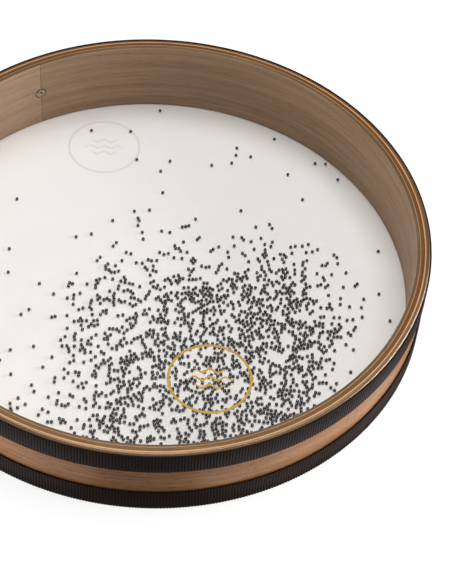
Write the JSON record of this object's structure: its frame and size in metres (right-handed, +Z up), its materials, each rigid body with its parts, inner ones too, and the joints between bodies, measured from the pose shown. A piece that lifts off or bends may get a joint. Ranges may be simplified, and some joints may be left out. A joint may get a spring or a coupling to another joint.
{
  "type": "wave drum",
  "caption": "Shallow round frame drum closed by a clear and a white film, with loose metal beads between them that roll over the lower film and sound like surf.",
  "frame": {"origin": "centre of the lower film's underside, on which the drum rests", "axes": "+Z up along the drum's axis, from the white film to the clear one; -Y is the picture's near side, +X its right"},
  "size_m": [0.4, 0.4, 0.063],
  "materials": {
    "shell_wood": "brown stained hardwood veneer, satin",
    "rim_wood": "cut edge of the middle ply, stained and oiled",
    "vent_metal": "nickel-plated brass",
    "clear_film": "clear polyester film, glossy",
    "white_film": "off-white polyester film, satin",
    "band_webbing": "black ribbed textile tape",
    "bead_steel": "dark polished steel shot"
  },
  "bodies": {
    "drum": {"shell_inner_ply": "shell_wood", "shell_core_ply": "rim_wood", "shell_face_ply": "shell_wood", "vent_insert": "vent_metal", "top_head": "clear_film", "bottom_head": "white_film", "upper_band": "band_webbing", "lower_band": "band_webbing"},
    "axis_bead": {"bead_axis": "bead_steel"},
    "centre_patch": {"bead_centre_1": "bead_steel", "bead_centre_2": "bead_steel", "bead_centre_3": "bead_steel"},
    "front_inner_patch": {"bead_front_inner_1": "bead_steel", "bead_front_inner_2": "bead_steel", "bead_front_inner_3": "bead_steel", "bead_front_inner_4": "bead_steel", "bead_front_inner_5": "bead_steel"},
    "front_outer_patch": {"bead_front_outer_1": "bead_steel", "bead_front_outer_2": "bead_steel", "bead_front_outer_3": "bead_steel", "bead_front_outer_4": "bead_steel", "bead_front_outer_5": "bead_steel", "bead_front_outer_6": "bead_steel"},
    "front_right_inner_patch": {"bead_front_right_inner_1": "bead_steel", "bead_front_right_inner_2": "bead_steel", "bead_front_right_inner_3": "bead_steel", "bead_front_right_inner_4": "bead_steel", "bead_front_right_inner_5": "bead_steel"},
    "front_right_outer_patch": {"bead_front_right_outer_1": "bead_steel", "bead_front_right_outer_2": "bead_steel", "bead_front_right_outer_3": "bead_steel", "bead_front_right_outer_4": "bead_steel", "bead_front_right_outer_5": "bead_steel", "bead_front_right_outer_6": "bead_steel"},
    "back_right_inner_patch": {"bead_back_right_inner_1": "bead_steel", "bead_back_right_inner_2": "bead_steel", "bead_back_right_inner_3": "bead_steel"},
    "back_right_outer_patch": {"bead_back_right_outer_1": "bead_steel", "bead_back_right_outer_2": "bead_steel", "bead_back_right_outer_3": "bead_steel", "bead_back_right_outer_4": "bead_steel"},
    "back_inner_patch": {"bead_back_inner_1": "bead_steel", "bead_back_inner_2": "bead_steel"},
    "back_outer_patch": {"bead_back_outer_1": "bead_steel", "bead_back_outer_2": "bead_steel"},
    "back_left_inner_patch": {"bead_back_left_inner_1": "bead_steel", "bead_back_left_inner_2": "bead_steel"},
    "back_left_outer_patch": {"bead_back_left_outer_1": "bead_steel", "bead_back_left_outer_2": "bead_steel"},
    "front_left_inner_patch": {"bead_front_left_inner_1": "bead_steel", "bead_front_left_inner_2": "bead_steel", "bead_front_left_inner_3": "bead_steel", "bead_front_left_inner_4": "bead_steel"},
    "front_left_outer_patch": {"bead_front_left_outer_1": "bead_steel", "bead_front_left_outer_2": "bead_steel", "bead_front_left_outer_3": "bead_steel", "bead_front_left_outer_4": "bead_steel"}
  },
  "joints": [
    {"name": "load_swirl", "type": "hinge", "parent": "drum", "child": "axis_bead", "pos_m": [0, 0, 0.0018], "axis": [0, 0, 1], "continuous": true},
    {"name": "centre_fall", "type": "slide", "parent": "axis_bead", "child": "centre_patch", "axis": [0, 0, 1], "range_m": [0, 0.059]},
    {"name": "front_inner_fall", "type": "slide", "parent": "axis_bead", "child": "front_inner_patch", "axis": [0, 0, 1], "range_m": [0, 0.059]},
    {"name": "front_outer_fall", "type": "slide", "parent": "axis_bead", "child": "front_outer_patch", "axis": [0, 0, 1], "range_m": [0, 0.059]},
    {"name": "front_right_inner_fall", "type": "slide", "parent": "axis_bead", "child": "front_right_inner_patch", "axis": [0, 0, 1], "range_m": [0, 0.059]},
    {"name": "front_right_outer_fall", "type": "slide", "parent": "axis_bead", "child": "front_right_outer_patch", "axis": [0, 0, 1], "range_m": [0, 0.059]},
    {"name": "back_right_inner_fall", "type": "slide", "parent": "axis_bead", "child": "back_right_inner_patch", "axis": [0, 0, 1], "range_m": [0, 0.059]},
    {"name": "back_right_outer_fall", "type": "slide", "parent": "axis_bead", "child": "back_right_outer_patch", "axis": [0, 0, 1], "range_m": [0, 0.059]},
    {"name": "back_inner_fall", "type": "slide", "parent": "axis_bead", "child": "back_inner_patch", "axis": [0, 0, 1], "range_m": [0, 0.059]},
    {"name": "back_outer_fall", "type": "slide", "parent": "axis_bead", "child": "back_outer_patch", "axis": [0, 0, 1], "range_m": [0, 0.059]},
    {"name": "back_left_inner_fall", "type": "slide", "parent": "axis_bead", "child": "back_left_inner_patch", "axis": [0, 0, 1], "range_m": [0, 0.059]},
    {"name": "back_left_outer_fall", "type": "slide", "parent": "axis_bead", "child": "back_left_outer_patch", "axis": [0, 0, 1], "range_m": [0, 0.059]},
    {"name": "front_left_inner_fall", "type": "slide", "parent": "axis_bead", "child": "front_left_inner_patch", "axis": [0, 0, 1], "range_m": [0, 0.059]},
    {"name": "front_left_outer_fall", "type": "slide", "parent": "axis_bead", "child": "front_left_outer_patch", "axis": [0, 0, 1], "range_m": [0, 0.059]}
  ]
}
